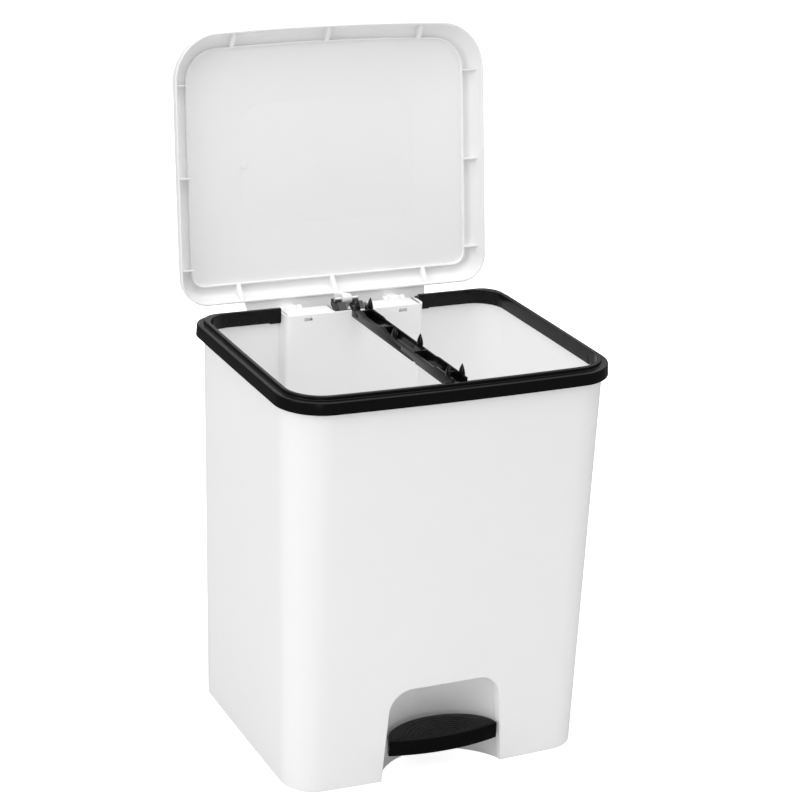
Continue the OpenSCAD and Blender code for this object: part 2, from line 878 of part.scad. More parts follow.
module pedal_lever() {
    hw = lever_w / 2;
    color(black)
        difference() {
            union() {
                // side view: pad, neck below the recess wall's edge, axle, rear arm
                plate_x(-hw, hw, [[-130, lever_pad_z - lever_pad_t], [-105, lever_pad_z - lever_pad_t],
                                  [-95, 14.5], [-40, 8], [axle_y, axle_z - lever_eye_r], [40, 14], [98, 25],
                                  [98, 34], [40, 24], [axle_y, axle_z + lever_eye_r], [-40, 20],
                                  [-80, 18], [-94, 22.5], [-100, lever_pad_z], [-130, lever_pad_z]]);
                plate_x(-tongue_w / 2, tongue_w / 2, [[96, 25], [lever_pin_y, lever_pin_z - tongue_r],
                                                      [lever_pin_y, lever_pin_z + tongue_r], [96, 33]]);
                bar_x(-tongue_w / 2, tongue_w / 2, lever_pin_y, lever_pin_z, tongue_r);
            }
            bar_x(-hw - 1, hw + 1, axle_y, axle_z, axle_r + run_fit);
            bar_x(-hw, hw, lever_pin_y, lever_pin_z, lever_pin_r + 0.02);
            for (y = tread_screw_y)
                translate([0, y, lever_pad_z - lever_pad_t - 1])
                    cylinder(r = 2, h = lever_pad_t + 2);
        }
}

module tread_screws() {
    color(steel)
        for (y = tread_screw_y)
            screw_up(0, y, lever_pad_z - lever_pad_t - 1.9, 3.6, 1.8, tread_shank_r, 7);
}

axle_half = 19;
groove_x = [-17.6, 16.5];
groove_w = 1.1;

module pedal_axle() {
    color(steel)
        difference() {
            bar_x(-axle_half, axle_half, axle_y, axle_z, axle_r);
            for (x = groove_x)
                difference() {
                    bar_x(x, x + groove_w, axle_y, axle_z, axle_r + 1);
                    bar_x(x - 1, x + groove_w + 1, axle_y, axle_z, axle_r - 0.6);
                }
        }
}

module axle_clips() {
    color(steel)
        for (x = groove_x)
            translate([0.1, 0, 0])
                difference() {
                    bar_x(x, x + groove_w - 0.2, axle_y, axle_z, axle_r + 2.6);
                    bar_x(x - 1, x + groove_w + 1, axle_y, axle_z, axle_r - 0.55);
                    box(x - 1, x + groove_w + 1, axle_y - 1.9, axle_y + 1.9, axle_z, axle_z + 8);
                }
}

module lever_pin() {
    color(steel)
        bar_x(-foot_cheek_out + 0.3, foot_cheek_out - 0.3, lever_pin_y, lever_pin_z, lever_pin_r);
}

tub();
base_plate();
base_screws();
foot_pads();
hinge_housing();
bag_ring();
ring_divider();
lid();
lift_pin();
hinge_pin_left();
hinge_pin_right();
rod_head();
push_rod();
rod_foot();
rod_guide_upper();
rod_guide_lower();
rear_cover();
cover_screws();
pedal_tread();
pedal_lever();
tread_screws();
pedal_axle();
axle_clips();
lever_pin();
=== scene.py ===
"""A two-bag pedal bin with its pedal pressed and its lid open.

White tub and lid, black bag ring and pedal. The CAD frame gives every place and size. Lengths
below are millimetres in the CAD frame unless a name ends in _m.
"""
import math

import bmesh
import bpy
from mathutils import Matrix, Vector


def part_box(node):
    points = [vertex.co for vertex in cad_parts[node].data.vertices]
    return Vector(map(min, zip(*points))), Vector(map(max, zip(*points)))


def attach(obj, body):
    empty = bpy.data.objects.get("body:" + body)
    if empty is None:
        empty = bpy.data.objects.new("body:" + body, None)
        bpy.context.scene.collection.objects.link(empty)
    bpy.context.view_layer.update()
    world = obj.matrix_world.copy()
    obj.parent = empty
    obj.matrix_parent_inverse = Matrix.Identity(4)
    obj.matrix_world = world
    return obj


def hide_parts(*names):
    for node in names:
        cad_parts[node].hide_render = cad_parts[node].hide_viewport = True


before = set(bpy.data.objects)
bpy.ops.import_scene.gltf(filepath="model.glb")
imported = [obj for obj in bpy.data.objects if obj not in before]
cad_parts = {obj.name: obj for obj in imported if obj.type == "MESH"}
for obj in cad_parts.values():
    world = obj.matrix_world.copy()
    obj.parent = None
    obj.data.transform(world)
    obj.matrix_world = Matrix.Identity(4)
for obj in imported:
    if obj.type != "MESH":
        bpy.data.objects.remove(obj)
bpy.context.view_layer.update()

MM = 0.001
ARC = 24          # pieces in a plan corner of a shell
RUN = 16          # pieces in a bowed side of a shell


def box_mm(node):
    """Lowest and highest corner of a CAD node, in millimetres."""
    low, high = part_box(node)
    return Vector(low) / MM, Vector(high) / MM


# ---- Sizes, from the frame and from the object's own proportions --------------

TUB_LOW, TUB_HIGH = box_mm("tub")
RING_LOW, RING_HIGH = box_mm("bag_ring")
TREAD_LOW, TREAD_HIGH = box_mm("pedal_tread")
PIN_LOW, PIN_HIGH = box_mm("hinge_pin_right")

SIDE_BOW = 0.5                              # how far each side bows out of a flat line
FRONT_BOW = 4.5                             # the same for the front
WALL = 2.2
RIM_Z = RING_HIGH.z - 8.0                   # the tub's rim; the ring stands 8 above it
RIM_HX = TUB_HIGH.x - SIDE_BOW
RIM_HY = -(TUB_LOW.y + FRONT_BOW)
RIM_R = 40.0
RIM_R_BACK = 34.0
BASE_HX = RIM_HX - 11.5
BASE_HY = RIM_HY - 3.5
BASE_R = 31.0
LEAST_R = 8.0                               # no plan corner of the tub gets tighter
FLOOR_Z = 46.0
FLOOR_T = 2.5

RECESS_Y = 114.0
RECESS_X = 74.5
RECESS_Z = 300.0
CHANNEL_X = 22.0
WINDOW_X = 52.7
WINDOW_Z = RIM_Z - 2.0

SCOOP_Y = -158.0
SCOOP_R_LOW = 71.0
SCOOP_R_HIGH = 69.0
OPENING_HX = 64.0
OPENING_TAPER = 6.5
OPENING_H = 95.0
OPENING_R = 22.0
SCOOP_DEEP = 40.0                           # stations of the recess beyond this depth are flat
SCOOP_FLAT = 100.0                          # and their depth is measured from this far in front
BEHIND = 180.0                              # clear of the tub's rear wall
SLOT_HX = 14.0                              # slots that the pedal's lever passes through
SCREW_Z = (70, 265)                         # the rear cover's screws

RING_FLARE = 0.7                            # how far the skirt's lower edge stands out
RING_HX = RING_HIGH.x - SIDE_BOW - RING_FLARE
RING_HY = -(RING_LOW.y + FRONT_BOW) - RING_FLARE
RING_R = 42.0
RING_R_BACK = 28.0
RING_R_INNER = 27.0                         # the inner face's rear corners
RING_IN = 10.8
RING_WALL = 4.2
RING_GAP = 77.0

HINGE_Y = (PIN_LOW.y + PIN_HIGH.y) / 2
HINGE_Z = (PIN_LOW.z + PIN_HIGH.z) / 2
PIN_R = (PIN_HIGH.z - PIN_LOW.z) / 2
PIN_FIT = 0.05
LID_OPEN = math.radians(98)
LID_HX = RIM_HX + 3.0
LID_FRONT = -(RIM_HY + 3.5)
LID_BACK = 137.5
LID_R_FRONT = 46.0
LID_R_BACK = 28.0
LID_RIM_Z = RIM_Z + 4.5
LID_H = 25.0
LIP_IN = 16.2


# ---- Mesh tools ---------------------------------------------------------------

def make_object(name, verts, faces, sharp_deg=32):
    """A mesh object from points in millimetres, smooth but for edges sharper than sharp_deg."""
    mesh = bpy.data.meshes.new(name)
    mesh.from_pydata([Vector(v) * MM for v in verts], [], faces)
    return finish_mesh(name, mesh, sharp_deg)


def finish_mesh(name, mesh, sharp_deg=32):
    work = bmesh.new()
    work.from_mesh(mesh)
    bmesh.ops.remove_doubles(work, verts=work.verts, dist=1e-7)
    bmesh.ops.recalc_face_normals(work, faces=work.faces)
    for face in work.faces:
        face.smooth = True
    work.to_mesh(mesh)
    work.free()
    mesh.set_sharp_from_angle(angle=math.radians(sharp_deg))
    piece = bpy.data.objects.new(name, mesh)
    bpy.context.scene.collection.objects.link(piece)
    return piece


def bake(piece, sharp_deg=32):
    """Replaces a piece's mesh by its mesh with all modifiers applied."""
    graph = bpy.context.evaluated_depsgraph_get()
    mesh = bpy.data.meshes.new_from_object(piece.evaluated_get(graph))
    piece.modifiers.clear()
    piece.data = mesh
    for polygon in mesh.polygons:
        polygon.use_smooth = True
    mesh.set_sharp_from_angle(angle=math.radians(sharp_deg))
    return piece


def combine(piece, other, operation):
    """Exact boolean of two closed pieces; the second one is used up."""
    cut = piece.modifiers.new(operation, "BOOLEAN")
    cut.operation = operation
    cut.solver = "EXACT"
    cut.object = other
    bake(piece)
    bpy.data.objects.remove(other)
    return piece


def join(name, parts):
    """One mesh object from several, which are used up."""
    work = bmesh.new()
    for part in parts:
        work.from_mesh(part.data)
    mesh = bpy.data.meshes.new(name)
    work.to_mesh(mesh)
    work.free()
    for part in parts:
        bpy.data.objects.remove(part)
    for polygon in mesh.polygons:
        polygon.use_smooth = True
    mesh.set_sharp_from_angle(angle=math.radians(32))
    piece = bpy.data.objects.new(name, mesh)
    bpy.context.scene.collection.objects.link(piece)
    return piece


def soften(piece, width, segments=3, angle_deg=40):
    """Rounds every edge sharper than angle_deg."""
    bevel = piece.modifiers.new("edges", "BEVEL")
    bevel.width = width * MM
    bevel.segments = segments
    bevel.limit_method = "ANGLE"
    bevel.angle_limit = math.radians(angle_deg)
    bevel.harden_normals = False
    return bake(piece)


def slab(x0, x1, y0, y1, z0, z1, name="slab"):
    corners = [(x, y, z) for x in (x0, x1) for y in (y0, y1) for z in (z0, z1)]
    faces = [(0, 1, 3, 2), (4, 6, 7, 5), (0, 4, 5, 1), (2, 3, 7, 6), (0, 2, 6, 4), (1, 5, 7, 3)]
    return make_object(name, corners, faces)


def prism_x(x0, x1, outline_yz, name="prism"):
    """Solid between two copies of an outline in the YZ plane."""
    n = len(outline_yz)
    verts = [(x, y, z) for x in (x0, x1) for y, z in outline_yz]
    faces = [tuple(range(n)), tuple(range(2 * n - 1, n - 1, -1))]
    faces += [(i, (i + 1) % n, n + (i + 1) % n, n + i) for i in range(n)]
    return make_object(name, verts, faces)


def rod_x(x0, x1, y, z, radius, name="rod", steps=48):
    ring = [(y + radius * math.cos(a), z + radius * math.sin(a))
            for a in (2 * math.pi * i / steps for i in range(steps))]
    return prism_x(x0, x1, ring, name)


def rod_z(x, y, z0, z1, radius0, radius1=None, name="rod", steps=64):
    """Upright cylinder or cone."""
    radius1 = radius0 if radius1 is None else radius1
    turns = [2 * math.pi * i / steps for i in range(steps)]
    verts = [(x + r * math.cos(a), y + r * math.sin(a), z)
             for z, r in ((z0, radius0), (z1, radius1)) for a in turns]
    faces = [tuple(range(steps)), tuple(range(2 * steps - 1, steps - 1, -1))]
    faces += [(i, (i + 1) % steps, steps + (i + 1) % steps, steps + i) for i in range(steps)]
    return make_object(name, verts, faces)


def span(side, x0, x1):
    """The X range x0 to x1 on the given side, lowest first."""
    return (x0, x1) if side > 0 else (-x1, -x0)


def rounded(corners, steps=5):
    """A closed outline with each corner (a, b, radius) rounded."""
    points = []
    n = len(corners)
    for i, (a, b, radius) in enumerate(corners):
        here = Vector((a, b))
        before = Vector(corners[i - 1][:2]) - here
        after = Vector(corners[(i + 1) % n][:2]) - here
        turn = before.angle(after)
        reach = min(radius / math.tan(turn / 2), before.length * 0.49, after.length * 0.49)
        size = reach * math.tan(turn / 2)
        to_before, to_after = before.normalized(), after.normalized()
        centre = here + (to_before + to_after).normalized() * (size / math.sin(turn / 2))
        first, last = here + to_before * reach - centre, here + to_after * reach - centre
        sweep = first.angle(last) * (1 if first.x * last.y - first.y * last.x > 0 else -1)
        for k in range(steps + 1):
            spun = Matrix.Rotation(sweep * k / steps, 2) @ first
            points.append(tuple(centre + spun))
    return points


def curve_through(points, steps=6):
    """Open Catmull-Rom curve through 2-D points."""
    padded = [points[0]] + list(points) + [points[-1]]
    out = []
    for i in range(1, len(padded) - 2):
        p0, p1, p2, p3 = (Vector(padded[i + k]) for k in (-1, 0, 1, 2))
        for k in range(steps):
            t = k / steps
            square, cube = 2 * p0 - 5 * p1 + 4 * p2 - p3, 3 * p1 - p0 - 3 * p2 + p3
            out.append(tuple(0.5 * (2 * p1 + (p2 - p0) * t + square * t * t + cube * t ** 3)))
    out.append(tuple(points[-1]))
    return out


# ---- Shell outlines, as the CAD part draws them ---------------------------------

def outline(hx, y0, y1, r_front, r_back, bow_x, bow_front):
    """Rounded rectangle from y0 to y1 whose sides and front bow outwards."""
    hy, yc = (y1 - y0) / 2, (y0 + y1) / 2
    back_x, back_y = hx - r_back, y1 - r_back
    front_x, front_y0 = hx - r_front, y0 + r_front

    def corner(cx, cy, r, start):
        angles = [math.radians(start + 90 * i / ARC) for i in range(ARC + 1)]
        return [(cx + r * math.cos(a), cy + r * math.sin(a)) for a in angles]

    def side(p, q):
        return [(p[0] + (q[0] - p[0]) * i / RUN, p[1] + (q[1] - p[1]) * i / RUN)
                for i in range(1, RUN)]

    flat = corner(back_x, back_y, r_back, 0) + side((back_x, y1), (-back_x, y1))
    flat += corner(-back_x, back_y, r_back, 90) + side((-hx, back_y), (-hx, front_y0))
    flat += corner(-front_x, front_y0, r_front, 180) + side((-front_x, y0), (front_x, y0))
    flat += corner(front_x, front_y0, r_front, 270) + side((hx, front_y0), (hx, back_y))
    return [(x + bow_x * (x / hx) * (1 - ((y - yc) / hy) ** 2),
             y + (bow_front * ((y - yc) / hy) * (1 - (x / hx) ** 2) if y < yc else 0))
            for x, y in flat]


def tub_at(z, inset):
    t = z / RIM_Z
    hx = BASE_HX + (RIM_HX - BASE_HX) * t - inset
    hy = BASE_HY + (RIM_HY - BASE_HY) * t - inset
    front, back = (max(BASE_R + (r - BASE_R) * t - inset, LEAST_R) for r in (RIM_R, RIM_R_BACK))
    return [(x, y, z) for x, y in outline(hx, -hy, hy, front, back, SIDE_BOW, FRONT_BOW)]


def ring_at(z, inset):
    """Outline of the ring: tight rear corners outside, wider ones on its inner wall."""
    hx, hy, r = RING_HX - inset, RING_HY - inset, RING_R - inset
    hanging = inset > RING_IN - RING_WALL / 2 - 0.3
    r_back = RING_R_INNER + RING_IN - inset if hanging else RING_R_BACK - inset
    return [(x, y, z) for x, y in outline(hx, -hy, hy, r, r_back, SIDE_BOW, FRONT_BOW)]


def lid_at(z, inset, r_front=None, r_back=None):
    """Outline of the closed lid at height z above its rim."""
    front = max(LID_R_FRONT - inset, 24) if r_front is None else r_front
    back = max(LID_R_BACK - inset, 14) if r_back is None else r_back
    plan = outline(LID_HX - inset, LID_FRONT + inset, LID_BACK - inset, front, back,
                   SIDE_BOW, FRONT_BOW)
    return [(x, y, LID_RIM_Z + z) for x, y in plan]


def loft(name, stack, looped=False, sharp_deg=32):
    """Closed solid through a stack of outlines.

    A looped stack joins its last outline to its first, an open one is capped.
    """
    n, m = len(stack[0]), len(stack)
    verts = [p for ring in stack for p in ring]
    faces = []
    for k in range(m if looped else m - 1):
        low, high = k * n, ((k + 1) % m) * n
        faces += [(low + i, low + (i + 1) % n, high + (i + 1) % n, high + i) for i in range(n)]
    if not looped:
        faces += [tuple(range(n - 1, -1, -1)), tuple(range((m - 1) * n, m * n))]
    return make_object(name, verts, faces, sharp_deg)


def rear_y(z):
    return BASE_HY + (RIM_HY - BASE_HY) * z / RIM_Z


def front_y(x, z):
    """The tub's front face."""
    hx = BASE_HX + (RIM_HX - BASE_HX) * z / RIM_Z
    return -rear_y(z) - FRONT_BOW * (1 - (x / hx) ** 2)


# ---- Tub -------------------------------------------------------------------------

def arch(grow, low):
    """Outline in XZ of the pedal opening, grown by grow and running down to low."""
    top = OPENING_H + grow
    r = OPENING_R + grow
    half_top = OPENING_HX - OPENING_TAPER + grow
    half_low = OPENING_HX + grow
    slope = (half_low - half_top) / top
    points = []
    for i in range(ARC + 1):
        a = math.radians(90 * i / ARC)
        side = half_top + slope * r * (1 - math.sin(a))
        points.append((side - r + r * math.cos(a), top - r + r * math.sin(a)))
    right = [(half_low - slope * low, low)] + points
    left = [(-x, z) for x, z in reversed(right)]
    crown = [(right[-1][0] + (left[0][0] - right[-1][0]) * i / RUN, top) for i in range(1, RUN)]
    return right + crown + left


def arch_solid(name, stations, low):
    """The arch swept back from the tub's front face.

    Each station is (depth behind the face, growth). Stations deeper than SCOOP_DEEP are flat.
    """
    def place(x, z, depth):
        return front_y(x, z) + depth if depth < SCOOP_DEEP else depth - SCOOP_FLAT

    return loft(name, [[(x, place(x, z, depth), z) for x, z in arch(grow, low)]
                       for depth, grow in stations])


def scoop(name, stations, grow, low):
    """The round recess of the pedal: the arch cut by an upright cone."""
    body = arch_solid(name, stations, low)
    cone = rod_z(0, SCOOP_Y, low - 2, OPENING_H + grow + 4, SCOOP_R_LOW + grow,
                 SCOOP_R_HIGH + grow, steps=160)
    return combine(body, cone, "INTERSECT")


def rear_pocket(name, hx, y0, z0, z1, inset, r):
    """Upright pocket with round front corners.

    Its rear face is inset from the tub's rear wall, or well behind it where inset is None.
    """
    square = 0.01

    def plan(z):
        back = BEHIND if inset is None else rear_y(z) - inset
        corners = [(-hx, y0, r), (hx, y0, r), (hx, back, square), (-hx, back, square)]
        return [(x, y, z) for x, y in rounded(corners, 10)]
    return loft(name, [plan(z0), plan(z1)])


def build_tub():
    edge = 0.7
    fillet = 9.0
    levels = 22
    climb = RIM_Z - 2 * edge
    deep = FLOOR_Z + fillet
    stack = [tub_at(FLOOR_Z - FLOOR_T, WALL), tub_at(edge, WALL)]
    stack += [tub_at(0, WALL - edge), tub_at(0, edge), tub_at(edge, 0)]
    stack += [tub_at(edge + climb * i / levels, 0) for i in range(1, levels + 1)]
    stack += [tub_at(RIM_Z, edge), tub_at(RIM_Z, WALL - edge), tub_at(RIM_Z - edge, WALL)]
    stack += [tub_at(RIM_Z - edge - (RIM_Z - edge - deep) * i / levels, WALL)
              for i in range(1, levels + 1)]
    for i in range(1, 8):
        a = math.radians(90 * i / 7)
        stack.append(tub_at(deep - fillet * math.sin(a), WALL + fillet * (1 - math.cos(a))))
    tub = loft("tub_shell", stack)

    # walls of the pedal recess, the rod's channel and the hinge recess
    mid = WALL / 2
    skin = 0.05
    channel_x, recess_x = CHANNEL_X + WALL, RECESS_X + WALL
    wall_y, wall_z = RECESS_Y - WALL, RECESS_Z - WALL
    walls = [scoop("scoop_wall", [(mid, WALL), (20, WALL), (105, WALL)], WALL, skin),
             rear_pocket("channel_wall", channel_x, wall_y, skin, RECESS_Z, mid, 5),
             rear_pocket("recess_wall", recess_x, wall_y, wall_z, RIM_Z + 3, mid, 7)]
    for piece in walls:
        combine(tub, piece, "UNION")

    # the spaces inside them, the first with a round mouth, then slots and snap windows
    mouth = 1.6
    bends = [math.radians(a) for a in range(0, 91, 15)]
    stations = [(-8, mouth)]
    stations += [(mouth * (1 - math.cos(a)), mouth * (1 - math.sin(a))) for a in bends]
    stations += [(20, 0), (110, 0)]
    front = SCOOP_Y + SCOOP_R_LOW
    through = (RECESS_Y - 2 * WALL, RECESS_Y + 1)
    spaces = [scoop("scoop_space", stations, 0, -3),
              rear_pocket("channel_space", CHANNEL_X, RECESS_Y, -3, RECESS_Z + 1, None, 2.8),
              rear_pocket("recess_space", RECESS_X, RECESS_Y, RECESS_Z, RIM_Z + 40, None, 4.8),
              slab(-SLOT_HX, SLOT_HX, front - 12, front + 6, 12, 35.6),
              slab(-SLOT_HX, SLOT_HX, *through, 3, 38)]
    for side in (-1, 1):
        x0, x1 = span(side, WINDOW_X - 4.5, WINDOW_X + 4.5)
        spaces.append(slab(x0, x1, *through, WINDOW_Z - 1.6, WINDOW_Z + 1.6))
    for piece in spaces:
        combine(tub, piece, "DIFFERENCE")
    posts = [rod_z(x, y, 3, FLOOR_Z - 1, 5, name="post") for x in (-115, 115) for y in (-70, 85)]
    blocks = [slab(*span(side, 14.5, CHANNEL_X + 1), RECESS_Y - 1, rear_y(z) - 4, z - 6, z + 6)
              for side in (-1, 1) for z in SCREW_Z]
    return join("tub_shell", [tub] + posts + blocks)


# ---- Bag ring and divider -----------------------------------------------------------

def build_ring():
    low, top = RIM_Z - 8, RIM_Z + 8
    ledge = RIM_Z + 4.2
    wall_out = RING_IN - RING_WALL
    seat = RIM_Z + 0.4
    # (inset, height, corner radius): up the outside, over the ledge and wall, back under the rim
    section = rounded([(-RING_FLARE, low, 0.5), (0, ledge, 1.3), (wall_out, ledge, 0.6),
                       (wall_out, top, 1.0), (RING_IN, top, 0.9), (RING_IN, low + 1, 0.5),
                       (RING_IN - 1.9, low + 1, 0.4), (RING_IN - 2.1, seat, 0.3),
                       (2, seat, 0.3), (1.1, low, 0.4)])
    ring = loft("bag_ring_shell", [ring_at(z, inset) for inset, z in section], looped=True)
    combine(ring, slab(-RING_GAP, RING_GAP, 60, 200, RIM_Z - 40, RIM_Z + 40), "DIFFERENCE")
    # small notch in the lower edge of the right inner face
    notch_y = -88.0
    inner = RING_HX - RING_IN
    notch = prism_x(inner - 4, inner + 3, [(notch_y - 1.6, low - 1), (notch_y + 1.6, low - 1),
                                           (notch_y + 1.2, low + 4), (notch_y, low + 5.5)])
    combine(ring, notch, "DIFFERENCE")
    soften(ring, 0.35, 2, 50)
    # end lugs that lock the ring in the hinge recess, and a short deeper step at each end
    parts = [ring]
    back = RING_HY
    for side in (-1, 1):
        x0, x1 = span(side, RING_GAP - 2.4, RING_GAP + 1)
        lug = slab(x0, x1, back - RING_IN + 1.2, back - RING_IN + 5, low + 2, top - 6)
        parts.append(soften(lug, 0.8, 3))
        x0, x1 = span(side, RING_GAP + 0.1, RING_GAP + 12)
        step = slab(x0, x1, back - RING_IN + 0.2, back - RING_IN + 2.0, low, low + 3)
        parts.append(soften(step, 0.4, 2))
    return join("bag_ring_shell", parts)


def spike(x, y, z, height=10.5, half_y=5.0, half_x=2.8):
    """Leaf-shaped bag spike with a lens section and a sharp tip."""
    around, levels = 16, 14
    root, tip = 0.8, 0.02
    rings = []
    for k in range(levels + 1):
        t = k / levels
        size = (1 - t ** 1.75) + tip
        up = z - root + (height + root) * t
        ring = []
        for i in range(around):
            a = 2 * math.pi * i / around
            lens = math.copysign(abs(math.sin(a)) ** 1.3, math.sin(a))
            ring.append((x + half_x * size * lens, y + half_y * size * math.cos(a), up))
        rings.append(ring)
    return loft("spike", rings, sharp_deg=30)


def build_divider():
    hx, t = 7.0, 1.8
    dip = 2.2
    low = RIM_Z - 1
    top = low + 12
    front = -(RING_HY + FRONT_BOW - RING_IN) + 0.3
    back = RECESS_Y - WALL - 0.3
    # outlines of the two side walls in YZ: the left one dips between the spikes
    left = [(front, low), (-48, low), (-47, low + 2), (-43, low + 2), (-42, low), (back - 6, low),
            (back - 6, top), (78, top), (72, top - dip), (38, top - dip), (35, top), (26, top),
            (22, top - dip), (-88, top - dip), (-94, top), (front, top)]
    right = [(front, low), (back - 6, low), (back - 6, top), (60, top), (55, top - 1),
             (-62, top - 1), (-68, top), (front, top)]
    parts = []

    def bar(x0, x1, y0, y1, z0, z1, edge=0.35):
        parts.append(soften(slab(x0, x1, y0, y1, z0, z1), edge, 2))

    for side, side_outline in ((-1, left), (1, right)):
        x0, x1 = span(side, hx - t / 2, hx + t / 2)
        wall = prism_x(x0, x1, side_outline)
        for y in (91, -13):
            slot = slab(x0 - 2, x1 + 2, y - 0.8, y + 0.8, low + 3, low + 6)
            combine(wall, slot, "DIFFERENCE")
        parts.append(soften(wall, 0.35, 2))
    # floor webs, cross webs, the tongue behind, and a round boss near the front end
    for y in (-128, -84, -30, 24, 72, 96):
        bar(-hx, hx, max(y, front), y + 12, low, low + 2)
    for y in (-108, -44, 34, 88):
        bar(-hx, hx, y, y + t, low, top - 1)
    bar(-4, 4, back - 12, back, low, low + 3)
    parts.append(soften(rod_z(0, -117, low, low + 6, 3.2, name="boss"), 0.4, 2))
    for x, y in ((-hx, 94), (hx, 94), (-hx, 3), (hx, -26), (-hx, -119), (hx, -119)):
        parts.append(spike(x, y, top))
    return join("divider_bar", parts)


# ---- Hinge housing --------------------------------------------------------------------

def knuckle(x0, x1, plate, radius):
    """Ear of the hinge: a plate with a round end, bored for the pin."""
    body = combine(prism_x(x0, x1, plate), rod_x(x0, x1, HINGE_Y, HINGE_Z, radius), "UNION")
    bore = rod_x(x0 - 1, x1 + 1, HINGE_Y, HINGE_Z, PIN_R + PIN_FIT)
    return combine(body, bore, "DIFFERENCE")


def build_housing():
    in_x, out_x = 20.0, RECESS_X - 0.5
    front, low, top = RECESS_Y + 0.3, RECESS_Z + 0.4, RIM_Z + 2
    t = 2.2
    knuckle_r = 6.0
    # outlines in YZ
    cheek = [(front, low), (130.5, low), (131, 346), (139, 380), (139, top), (front, top)]
    ear = [(front, 350), (front, RIM_Z - 1), (HINGE_Y - 3, RIM_Z - 1),
           (HINGE_Y, HINGE_Z - knuckle_r), (133, 362), (126, 350)]
    rear = [(128.6, low), (130.8, low), (132.3, 378), (130.1, 378)]
    parts = []

    def add(piece, edge=0.5):
        parts.append(soften(piece, edge, 2))

    for side in (-1, 1):
        add(slab(*span(side, in_x, out_x), front, front + t, low, top))
        add(slab(*span(side, in_x, out_x), front, 139, top - 2.4, top))
        add(slab(*span(side, in_x, out_x), front, 130.5, low, low + 2.4))
        add(prism_x(*span(side, in_x, in_x + t), cheek))
        add(prism_x(*span(side, out_x - t, out_x), cheek))
        add(prism_x(*span(side, in_x, out_x), rear))
        for x0, x1 in ((46, 51.4), (64.6, 70)):
            add(knuckle(*span(side, x0, x1), ear, knuckle_r), 0.35)
        x0, x1 = span(side, WINDOW_X - 4, WINDOW_X + 4)
        add(slab(x0, x1, RECESS_Y - 0.2, front + 0.3, WINDOW_Z - 1.0, WINDOW_Z + 0.6), 0.3)
    add(slab(-in_x - 0.5, in_x + 0.5, 128, 130.5, low, low + 2.4))
    return join("housing_shell", parts)


# ---- Lid -------------------------------------------------------------------------------

def opened(piece):
    """Turns a piece drawn in the closed place to the open one."""
    pivot = Vector((0, HINGE_Y, HINGE_Z)) * MM
    swing = Matrix.Rotation(-LID_OPEN, 4, "X")
    piece.data.transform(Matrix.Translation(pivot) @ swing @ Matrix.Translation(-pivot))
    return piece


def build_lid_shell():
    # (height above the rim, inset): up the outside to the middle, and back down the underside
    top = curve_through([(0, 0), (6, 0.7), (13, 2), (17.5, 3.8), (20.5, 7), (22.2, 12), (22.9, 20),
                         (24.4, 55), (LID_H, 75)])
    under = curve_through([(LID_H - 2, 75), (22.2, 58), (20.4, 22), (20.0, 16), (18.6, 9.6),
                           (16.2, 6.2), (12.4, 4), (6, 2.7), (0.4, 2)])
    stack = [lid_at(z, inset) for z, inset in top] + [lid_at(z, inset) for z, inset in under]
    stack.append(lid_at(0, 1.5))
    stack[0] = lid_at(0.4, 0.05)
    stack.insert(0, lid_at(0, 0.5))
    shell = loft("lid_shell", stack, looped=True, sharp_deg=40)
    middle = loft("lid_middle", [lid_at(LID_H - 2, 74.7), lid_at(LID_H, 74.7)])
    return [shell, middle]


def build_lip():
    """Thin wall round the underside, inside the rim."""
    high, low, thick = 20.6, 15.6, 1.6
    section = rounded([(LIP_IN, low, 0.5), (LIP_IN, high, 0.1), (LIP_IN + thick, high, 0.1),
                       (LIP_IN + thick, low, 0.5)], 3)
    stack = [lid_at(z, inset, 32 - (inset - LIP_IN), 14 - (inset - LIP_IN)) for inset, z in section]
    return loft("lip", stack, looped=True)


# outer edge of the lid's ribs, half way through the wall: (distance in from the rim, height)
RIB_EDGE = ((2.9, 12.0), (5.0, 16.8), (8.3, 19.5), (12.0, 20.8), (LIP_IN + 1, 21.0))
RIB_X = (-104, 0, 104)
RIB_Y = (-86, 8, 102)


def lid_ribs():
    """Ribs between the skirt and the lip; their outer edges stay inside the lid's wall."""
    def edge_from(rim, sign):
        return [(rim + sign * inset, LID_RIM_Z + z) for inset, z in RIB_EDGE]

    ribs = []
    tip = LIP_IN + 1
    thin, thick = 0.7, 2.2
    foot_z = LID_RIM_Z + 10.5
    for y in RIB_Y:
        plan = [(LID_HX - tip, foot_z), (LID_HX - 2.6, foot_z)] + edge_from(LID_HX, -1)
        for side in (-1, 1):
            ribs.append(loft("rib", [[(side * x, y + dy, z) for x, z in plan]
                                     for dy in (-thin, thin)]))
    for x in RIB_X:
        # these ribs are wedges: tall at the skirt, falling to the lip
        front = LID_FRONT - FRONT_BOW * (1 - (x / LID_HX) ** 2)
        for rim, sign, low in ((front, 1, 6.5), (LID_BACK, -1, 4.5)):
            foot = [(rim + sign * tip, LID_RIM_Z + 15.5), (rim + sign * 7, LID_RIM_Z + 8.5),
                    (rim + sign * 2.4, LID_RIM_Z + low)]
            ribs.append(prism_x(x - thick, x + thick, foot + edge_from(rim, sign)))
    return ribs


